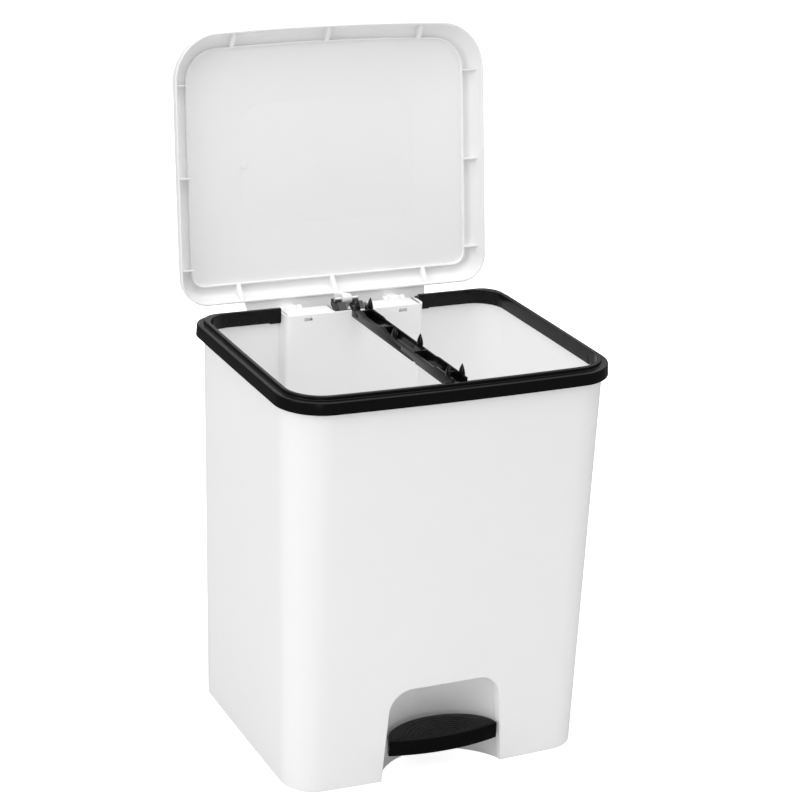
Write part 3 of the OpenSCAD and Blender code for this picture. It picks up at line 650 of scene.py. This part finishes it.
def lift_lug(ceiling):
    """Lug that the push rod lifts, from the flange's underside down to the lift pin."""
    pin_low, pin_high = box_mm("lift_pin")
    arm = Vector(((pin_low.y + pin_high.y) / 2 - HINGE_Y, (pin_low.z + pin_high.z) / 2 - HINGE_Z))
    closed = Matrix.Rotation(LID_OPEN, 2) @ arm
    y, z = HINGE_Y + closed.x, HINGE_Z + closed.y
    half, radius = 5.0, 5.0
    web = [(y - radius, z), (y + radius, z), (HINGE_Y + 3, HINGE_Z - 3), (HINGE_Y + 3, ceiling),
           (y - 3, ceiling)]
    lug = combine(prism_x(-half, half, web), rod_x(-half, half, y, z, radius), "UNION")
    return combine(lug, rod_x(-half - 1, half + 1, y, z, PIN_R + 0.02), "DIFFERENCE")


def build_lid():
    parts = build_lid_shell() + [build_lip()]

    def add(piece, edge=0.3):
        parts.append(soften(piece, edge, 2))

    for rib in lid_ribs():
        add(rib)

    # flange over the hinge: a plate from the rear skirt that curls down round the pins
    half = 100.0
    r0, t = 11.0, 2.2
    r1 = r0 + t
    plate_end = LID_BACK - 2.2
    bend = [math.radians(a) for a in range(84, 12, -6)]
    curl = [(plate_end, HINGE_Z + r1), (HINGE_Y, HINGE_Z + r1)]
    curl += [(HINGE_Y + r1 * math.cos(a), HINGE_Z + r1 * math.sin(a)) for a in bend]
    curl += [(HINGE_Y + r0 * math.cos(a), HINGE_Z + r0 * math.sin(a)) for a in reversed(bend)]
    curl += [(HINGE_Y, HINGE_Z + r0), (plate_end, HINGE_Z + r0)]
    add(prism_x(-half, half, curl), 0.5)
    gusset = [(LID_BACK - 1, HINGE_Z + r0 + 1), (HINGE_Y, HINGE_Z + r0 + 1),
              (LID_BACK - 1, LID_RIM_Z + 15)]
    knuckle_r = 6.0
    ceiling = HINGE_Z + r0 + 0.5
    ear = [(HINGE_Y - knuckle_r, HINGE_Z), (HINGE_Y + knuckle_r, HINGE_Z), (HINGE_Y + 3, ceiling),
           (HINGE_Y - knuckle_r, ceiling)]
    for side in (-1, 1):
        for x in (half - 2, 60):
            add(prism_x(*span(side, x, x + 2), gusset))
        add(knuckle(*span(side, 52, 64), ear, knuckle_r))
    add(lift_lug(ceiling), 0.8)

    # faint marks of the mould's ejector pins and its gate
    under = LID_RIM_Z + LID_H
    for x, y in ((-92, -100), (-92, 0), (-92, 96), (116, 96)):
        parts.append(rod_z(x, y, under - 3.0, under - 1, 3, name="mark"))
    parts.append(rod_z(-8, LID_BACK - 133, under - 2.5, under - 1, 1.2, name="gate"))
    return opened(join("lid_cover", parts))


# ---- Pedal tread -------------------------------------------------------------------------

TREAD_DEEP = 36.5           # from where the tread is widest to the middle of its rear edge
TREAD_BOW = 8.0             # how far the middle of its front stands out
TREAD_SCREW_Y = (-124, -109.5)


def tread_outline(inset):
    """D-shaped plan: an ellipse behind and a flat arc in front."""
    half = (TREAD_HIGH.x - TREAD_LOW.x) / 2 + 0.2
    radius = (half ** 2 + TREAD_BOW ** 2) / (2 * TREAD_BOW)
    front_c = TREAD_LOW.y + radius
    mid_y = TREAD_HIGH.y - TREAD_DEEP

    def front(x):
        return front_c - math.sqrt((radius - inset) ** 2 - x * x)

    def back(x):
        return mid_y + (TREAD_DEEP - inset) * math.sqrt(max(1 - (x / (half - inset)) ** 2, 0))

    reach = half - inset
    while reach > 0 and front(reach) > back(reach):
        reach -= 0.05
    steps = 48
    xs = [reach * math.cos(math.pi * i / steps) for i in range(steps + 1)]
    return [(x, back(x)) for x in xs] + [(x, front(x)) for x in reversed(xs)][1:-1]


def build_tread():
    top, low = TREAD_HIGH.z, TREAD_LOW.z
    wall, roof, round_r = 2.2, 2.4, 1.8
    steps = [(low, 0.3), (low + 0.5, 0.0), (top - round_r, 0.0)]
    for a in (22, 45, 67, 90):
        a = math.radians(a)
        steps.append((top - round_r + round_r * math.sin(a), round_r * (1 - math.cos(a))))
    inside = ((top - roof, wall + 0.6), (top - roof - 0.6, wall), (low + 0.3, wall),
              (low, wall - 0.3))
    outer = [[(x, y, z) for x, y in tread_outline(inset)] for z, inset in steps]
    inner = [[(x, y, z) for x, y in tread_outline(inset)] for z, inset in inside]
    # cap of the top, then down the outside, under the skirt and up the inside to the ceiling
    cup = loft("tread_shell", list(reversed(outer)) + list(reversed(inner)))
    parts = [cup]
    # gap in the rear skirt for the lever
    gap_hx = 11.6
    combine(cup, slab(-gap_hx, gap_hx, TREAD_HIGH.y - 5.5, TREAD_HIGH.y + 4, low - 1, low + 12),
            "DIFFERENCE")
    # grip lines: fine raised arcs that follow the round back edge
    back_r = 61.5
    for k in range(1, 8):
        parts.append(grip_line(back_r - 3.0 - 4.4 * k, TREAD_HIGH.y - back_r, top))
    for y in TREAD_SCREW_Y:
        parts.append(rod_z(0, y, top - 5.9, top - 1, 4.5, name="boss"))
    return join("tread_shell", parts)


def grip_line(radius, centre_y, top):
    """Raised arc about the tread's back centre, kept inside the tread's front edge."""
    half_w, height, sunk = 0.55, 0.45, 0.1
    front = TREAD_LOW.y + 5.0
    limit = widest = 74
    if radius > abs(front - centre_y):
        limit = min(math.degrees(math.acos((front - centre_y) / radius)), widest)
    count = 56
    section = [(-half_w, -sunk), (-half_w * 0.6, height * 0.8), (0, height),
               (half_w * 0.6, height * 0.8), (half_w, -sunk)]
    rings = []
    for i in range(count + 1):
        a = math.radians(90 - limit + 2 * limit * i / count)
        fade = min(1.0, 6.0 * min(i, count - i) / count)
        rings.append([((radius + u) * math.cos(a), centre_y + (radius + u) * math.sin(a),
                       top - sunk + max(v, 0) * fade) for u, v in section])
    return loft("grip", rings)


# ---- Materials ---------------------------------------------------------------------------

def node_tools(name):
    material = bpy.data.materials.new(name)
    material.use_nodes = True
    tree = material.node_tree
    shader = tree.nodes["Principled BSDF"]

    def add(kind, **values):
        node = tree.nodes.new(kind)
        for key, value in values.items():
            if key in node.inputs:
                node.inputs[key].default_value = value
            else:
                setattr(node, key, value)
        return node

    return material, tree, shader, add


def plastic(name, colour, roughness, grain_scale, grain_depth, mottle, wear, wear_colour,
            edge_mm=0.5, gloss=0.5, painted_glow=0.0):
    """Moulded plastic, all procedural: fine grain, faint flow mottling, soft edges and scuffs, and
    an optional painted glow on inner faces.
    """
    material, tree, shader, add = node_tools(name)
    link = tree.links.new
    place = add("ShaderNodeNewGeometry")
    mottling = add("ShaderNodeTexNoise", Scale=26.0, Detail=5.0, Roughness=0.55)
    link(place.outputs["Position"], mottling.inputs["Vector"])
    grain = add("ShaderNodeTexNoise", Scale=grain_scale, Detail=3.0, Roughness=0.6)
    link(place.outputs["Position"], grain.inputs["Vector"])
    pebble = add("ShaderNodeTexVoronoi", Scale=grain_scale * 0.6)
    link(place.outputs["Position"], pebble.inputs["Vector"])

    tint = add("ShaderNodeMix", data_type="RGBA")
    tint.inputs["A"].default_value = (*colour, 1)
    tint.inputs["B"].default_value = (*[c * (1 - mottle) for c in colour], 1)
    link(mottling.outputs["Fac"], tint.inputs["Factor"])

    # scuffs: short scratches where a stretched noise peaks
    stretch = add("ShaderNodeMapping")
    stretch.inputs["Scale"].default_value = (60, 60, 900)
    link(place.outputs["Position"], stretch.inputs["Vector"])
    scratch = add("ShaderNodeTexNoise", Scale=1.0, Detail=4.0, Roughness=0.7)
    link(stretch.outputs["Vector"], scratch.inputs["Vector"])
    pick = add("ShaderNodeMapRange")
    pick.inputs["From Min"].default_value = 0.66
    pick.inputs["From Max"].default_value = 0.8
    pick.inputs["To Max"].default_value = wear
    link(scratch.outputs["Fac"], pick.inputs["Value"])
    worn = add("ShaderNodeMix", data_type="RGBA")
    worn.inputs["B"].default_value = (*wear_colour, 1)
    link(pick.outputs["Result"], worn.inputs["Factor"])
    link(tint.outputs["Result"], worn.inputs["A"])
    link(worn.outputs["Result"], shader.inputs["Base Color"])

    rough = add("ShaderNodeMapRange")
    rough.inputs["To Min"].default_value = roughness - 0.05
    rough.inputs["To Max"].default_value = roughness + 0.08
    link(mottling.outputs["Fac"], rough.inputs["Value"])
    link(rough.outputs["Result"], shader.inputs["Roughness"])
    shader.inputs["IOR"].default_value = 1.49
    shader.inputs["Specular IOR Level"].default_value = gloss

    # painted glow: emission, only on faces that look towards the tub's axis, stands in for daylight
    # that comes through a thin white wall
    if painted_glow:
        facing = add("ShaderNodeVectorMath", operation="DOT_PRODUCT")
        level = add("ShaderNodeVectorMath", operation="MULTIPLY")
        level.inputs[1].default_value = (1, 1, 0)
        link(place.outputs["Position"], level.inputs[0])
        link(level.outputs["Vector"], facing.inputs[0])
        link(place.outputs["True Normal"], facing.inputs[1])
        inward_painted_glow = add("ShaderNodeMapRange")
        inward_painted_glow.inputs["From Min"].default_value = 0.02
        inward_painted_glow.inputs["From Max"].default_value = -0.05
        inward_painted_glow.inputs["To Max"].default_value = painted_glow
        link(facing.outputs["Value"], inward_painted_glow.inputs["Value"])
        shader.inputs["Emission Color"].default_value = (*colour, 1)
        link(inward_painted_glow.outputs["Result"], shader.inputs["Emission Strength"])

    soft = add("ShaderNodeBevel", samples=4)
    soft.inputs["Radius"].default_value = edge_mm * MM
    mix = add("ShaderNodeMath", operation="ADD")
    link(grain.outputs["Fac"], mix.inputs[0])
    link(pebble.outputs["Distance"], mix.inputs[1])
    bump = add("ShaderNodeBump")
    bump.inputs["Strength"].default_value = 0.35
    bump.inputs["Distance"].default_value = grain_depth * MM
    link(mix.outputs["Value"], bump.inputs["Height"])
    link(soft.outputs["Normal"], bump.inputs["Normal"])
    link(bump.outputs["Normal"], shader.inputs["Normal"])
    return material


def metal(name, colour, roughness):
    """Zinc-plated steel: drawn grain, blotchy passivation and small dark pits."""
    material, tree, shader, add = node_tools(name)
    link = tree.links.new
    place = add("ShaderNodeNewGeometry")
    stretch = add("ShaderNodeMapping")
    stretch.inputs["Scale"].default_value = (1800, 1800, 90)
    link(place.outputs["Position"], stretch.inputs["Vector"])
    grain = add("ShaderNodeTexNoise", Scale=1.0, Detail=4.0)
    link(stretch.outputs["Vector"], grain.inputs["Vector"])
    blotch = add("ShaderNodeTexNoise", Scale=180.0, Detail=5.0, Roughness=0.65)
    link(place.outputs["Position"], blotch.inputs["Vector"])
    tint = add("ShaderNodeMix", data_type="RGBA")
    tint.inputs["A"].default_value = (*[c * 0.72 for c in colour], 1)
    tint.inputs["B"].default_value = (*colour, 1)
    link(blotch.outputs["Fac"], tint.inputs["Factor"])
    link(tint.outputs["Result"], shader.inputs["Base Color"])
    shader.inputs["Metallic"].default_value = 1.0
    rough = add("ShaderNodeMapRange")
    rough.inputs["To Min"].default_value = roughness - 0.1
    rough.inputs["To Max"].default_value = roughness + 0.15
    link(blotch.outputs["Fac"], rough.inputs["Value"])
    link(rough.outputs["Result"], shader.inputs["Roughness"])
    bump = add("ShaderNodeBump")
    bump.inputs["Strength"].default_value = 0.25
    bump.inputs["Distance"].default_value = 0.05 * MM
    link(grain.outputs["Fac"], bump.inputs["Height"])
    link(bump.outputs["Normal"], shader.inputs["Normal"])
    return material


# name, colour, roughness, grain scale, grain depth, mottle, wear, colour of the worn spots
WHITE_LOOK = ((0.90, 0.90, 0.90), 0.42, 2600.0, 0.05, 0.02, 0.10, (0.72, 0.72, 0.71), 0.6)
WHITE = plastic("white_moulded", *WHITE_LOOK)
# the tub's inner faces get a painted glow (emission) in place of daylight through the thin wall
WHITE_TUB = plastic("white_tub", *WHITE_LOOK, painted_glow=0.11)
WHITE_INNER = plastic("white_mechanism", (0.82, 0.823, 0.828), 0.5, 2200.0, 0.06, 0.03, 0.14,
                      (0.6, 0.6, 0.59), 0.4)
BLACK = plastic("black_moulded", (0.005, 0.005, 0.0055), 0.2, 3000.0, 0.02, 0.2, 0.08,
                (0.03, 0.03, 0.03), 0.5, gloss=0.17)
BLACK_TREAD = plastic("black_tread", (0.004, 0.004, 0.0045), 0.28, 1500.0, 0.06, 0.3, 0.2,
                      (0.05, 0.05, 0.05), 0.6, gloss=0.12)
BLACK_FRAME = plastic("black_mechanism", (0.016, 0.016, 0.017), 0.42, 1800.0, 0.08, 0.3, 0.3,
                      (0.09, 0.09, 0.09), 0.5)
RUBBER = plastic("rubber_pad", (0.018, 0.018, 0.018), 0.75, 1200.0, 0.15, 0.35, 0.3,
                 (0.08, 0.08, 0.08), 0.4)
STEEL = metal("zinc_steel", (0.62, 0.63, 0.64), 0.34)


# ---- Assembly ------------------------------------------------------------------------------

def dress(piece, material, body, slot_name, *nodes):
    piece.data.materials.clear()
    piece.data.materials.append(material)
    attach(piece, body)
    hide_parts(*nodes)
    return piece


dress(build_tub(), WHITE_TUB, "root", "white_plastic", "tub")
dress(build_ring(), BLACK, "root", "black_plastic", "bag_ring")
dress(build_divider(), BLACK, "root", "black_plastic", "ring_divider")
dress(build_housing(), WHITE, "root", "white_plastic", "hinge_housing")
dress(build_lid(), WHITE, "lid", "white_plastic", "lid")
dress(build_tread(), BLACK_TREAD, "pedal", "black_plastic", "pedal_tread")

# CAD nodes that keep their own mesh, by material
CARRIED = (
    (WHITE, ("rear_cover",)),
    (WHITE_INNER, ("base_plate", "rod_guide_upper", "rod_guide_lower")),
    (RUBBER, ("foot_pads",)),
    (BLACK_FRAME, ("rod_head", "rod_foot", "pedal_lever")),
    (STEEL, ("push_rod", "lift_pin", "hinge_pin_left", "hinge_pin_right", "base_screws",
             "cover_screws", "tread_screws", "pedal_axle", "axle_clips", "lever_pin")),
)
for node_material, node_names in CARRIED:
    for node_name in node_names:
        node_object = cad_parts[node_name]
        if not node_object.material_slots:
            node_object.data.materials.append(node_material)
        for material_slot in node_object.material_slots:
            material_slot.material = node_material


# ---- Stage, light and camera -----------------------------------------------------------------

FLOOR_LIFT = 0.8            # how much brighter the camera sees the floor than it is lit


def build_floor():
    half = 6.0
    mesh = bpy.data.meshes.new("floor")
    corners = [(-half, -half, 0), (half, -half, 0), (half, half, 0), (-half, half, 0)]
    mesh.from_pydata(corners, [], [(0, 1, 2, 3)])
    floor = bpy.data.objects.new("floor", mesh)
    bpy.context.scene.collection.objects.link(floor)
    material, tree, shader, add = node_tools("pale_floor")
    shader.inputs["Roughness"].default_value = 0.9
    shader.inputs["Specular IOR Level"].default_value = 0.1
    # the floor looks white to the camera and dim in what the black plastic mirrors
    rays = add("ShaderNodeLightPath")
    shade = add("ShaderNodeMix", data_type="RGBA")
    shade.inputs["A"].default_value = (0.92, 0.92, 0.92, 1)
    shade.inputs["B"].default_value = (0.12, 0.12, 0.12, 1)
    tree.links.new(rays.outputs["Is Glossy Ray"], shade.inputs["Factor"])
    tree.links.new(shade.outputs["Result"], shader.inputs["Base Color"])
    lift = add("ShaderNodeMath", operation="MULTIPLY")
    lift.inputs[1].default_value = FLOOR_LIFT
    tree.links.new(rays.outputs["Is Camera Ray"], lift.inputs[0])
    shader.inputs["Emission Color"].default_value = (1, 1, 1, 1)
    tree.links.new(lift.outputs["Value"], shader.inputs["Emission Strength"])
    mesh.materials.append(material)


def area_light(name, place, target, size, power):
    light = bpy.data.lights.new(name, "AREA")
    light.shape = "RECTANGLE"
    light.size, light.size_y = size
    light.energy = power
    lamp = bpy.data.objects.new(name, light)
    lamp.location = place
    lamp.rotation_euler = (Vector(target) - Vector(place)).to_track_quat("-Z", "Y").to_euler()
    bpy.context.scene.collection.objects.link(lamp)


SKY_LOW, SKY_HIGH = 0.49, 0.80              # light from the horizon and from straight above
MIRROR_LOW, MIRROR_HIGH = 0.12, 1.5         # the same as seen in glossy plastic
KEY_POWER, FRONT_POWER, LOW_POWER, SIDE_POWER, TOP_POWER = 27, 1, 1.5, 4, 22


def build_light():
    world = bpy.data.worlds.new("studio")
    world.use_nodes = True
    tree = world.node_tree
    link = tree.links.new
    background = tree.nodes["Background"]
    background.inputs["Color"].default_value = (1, 1, 1, 1)
    place = tree.nodes.new("ShaderNodeTexCoord")
    split = tree.nodes.new("ShaderNodeSeparateXYZ")
    link(place.outputs["Generated"], split.inputs["Vector"])
    rise = tree.nodes.new("ShaderNodeMapRange")
    rise.inputs["From Min"].default_value = 0.0
    rise.inputs["To Min"].default_value = SKY_LOW
    rise.inputs["To Max"].default_value = SKY_HIGH
    link(split.outputs["Z"], rise.inputs["Value"])
    # glossy plastic mirrors a dim room below a bright ceiling, and the camera sees plain white
    mirror_rise = tree.nodes.new("ShaderNodeMapRange")
    mirror_rise.inputs["From Min"].default_value = 0.15
    mirror_rise.inputs["From Max"].default_value = 0.7
    mirror_rise.inputs["To Min"].default_value = MIRROR_LOW
    mirror_rise.inputs["To Max"].default_value = MIRROR_HIGH
    link(split.outputs["Z"], mirror_rise.inputs["Value"])
    rays = tree.nodes.new("ShaderNodeLightPath")
    glossy = tree.nodes.new("ShaderNodeMix")
    link(rays.outputs["Is Glossy Ray"], glossy.inputs["Factor"])
    link(rise.outputs["Result"], glossy.inputs["A"])
    link(mirror_rise.outputs["Result"], glossy.inputs["B"])
    seen = tree.nodes.new("ShaderNodeMix")
    seen.inputs["B"].default_value = 1.0
    link(rays.outputs["Is Camera Ray"], seen.inputs["Factor"])
    link(glossy.outputs["Result"], seen.inputs["A"])
    link(seen.outputs["Result"], background.inputs["Strength"])
    bpy.context.scene.world = world
    middle = (0, 0, 0.3)
    area_light("key", (-2.7, -0.9, 1.7), middle, (1.4, 1.6), KEY_POWER)
    area_light("front", (0.5, -3.0, 1.5), middle, (1.6, 1.2), FRONT_POWER)
    area_light("low", (-0.9, -2.2, 0.35), (0, -0.1, 0.05), (0.5, 0.3), LOW_POWER)
    area_light("side", (2.3, -1.6, 1.6), middle, (0.9, 1.6), SIDE_POWER)
    area_light("top", (0.1, -0.1, 2.6), middle, (1.6, 1.6), TOP_POWER)


# the camera looks at CAMERA_TARGET_M from the left and a little above
CAMERA_AZIMUTH, CAMERA_ELEVATION, CAMERA_ROLL = (math.radians(a) for a in (-25.17, 17.14, 2.44))
CAMERA_DISTANCE_M = 2.387
CAMERA_TARGET_M = Vector((0.0119, 0.0443, 0.4458))
CAMERA_LENS = 108.2
CAMERA_SHIFT = (0.0047, -0.1436)


def build_camera():
    level = math.cos(CAMERA_ELEVATION)
    back = Vector((math.sin(CAMERA_AZIMUTH) * level, -math.cos(CAMERA_AZIMUTH) * level,
                   math.sin(CAMERA_ELEVATION)))
    flat_right = Vector((math.cos(CAMERA_AZIMUTH), math.sin(CAMERA_AZIMUTH), 0))
    flat_up = back.cross(flat_right)
    cosine, sine = math.cos(CAMERA_ROLL), math.sin(CAMERA_ROLL)
    right = flat_right * cosine + flat_up * sine
    up = flat_up * cosine - flat_right * sine
    place = CAMERA_TARGET_M + back * CAMERA_DISTANCE_M
    camera = bpy.data.cameras.new("camera")
    camera.sensor_width = 36
    camera.lens = CAMERA_LENS
    camera.shift_x, camera.shift_y = CAMERA_SHIFT
    camera.clip_end = 40
    holder = bpy.data.objects.new("camera", camera)
    holder.matrix_world = Matrix((
        (right.x, up.x, back.x, place.x),
        (right.y, up.y, back.y, place.y),
        (right.z, up.z, back.z, place.z),
        (0, 0, 0, 1)))
    bpy.context.scene.collection.objects.link(holder)
    bpy.context.scene.camera = holder


build_floor()
build_light()
build_camera()
bpy.context.scene.view_settings.view_transform = "Standard"
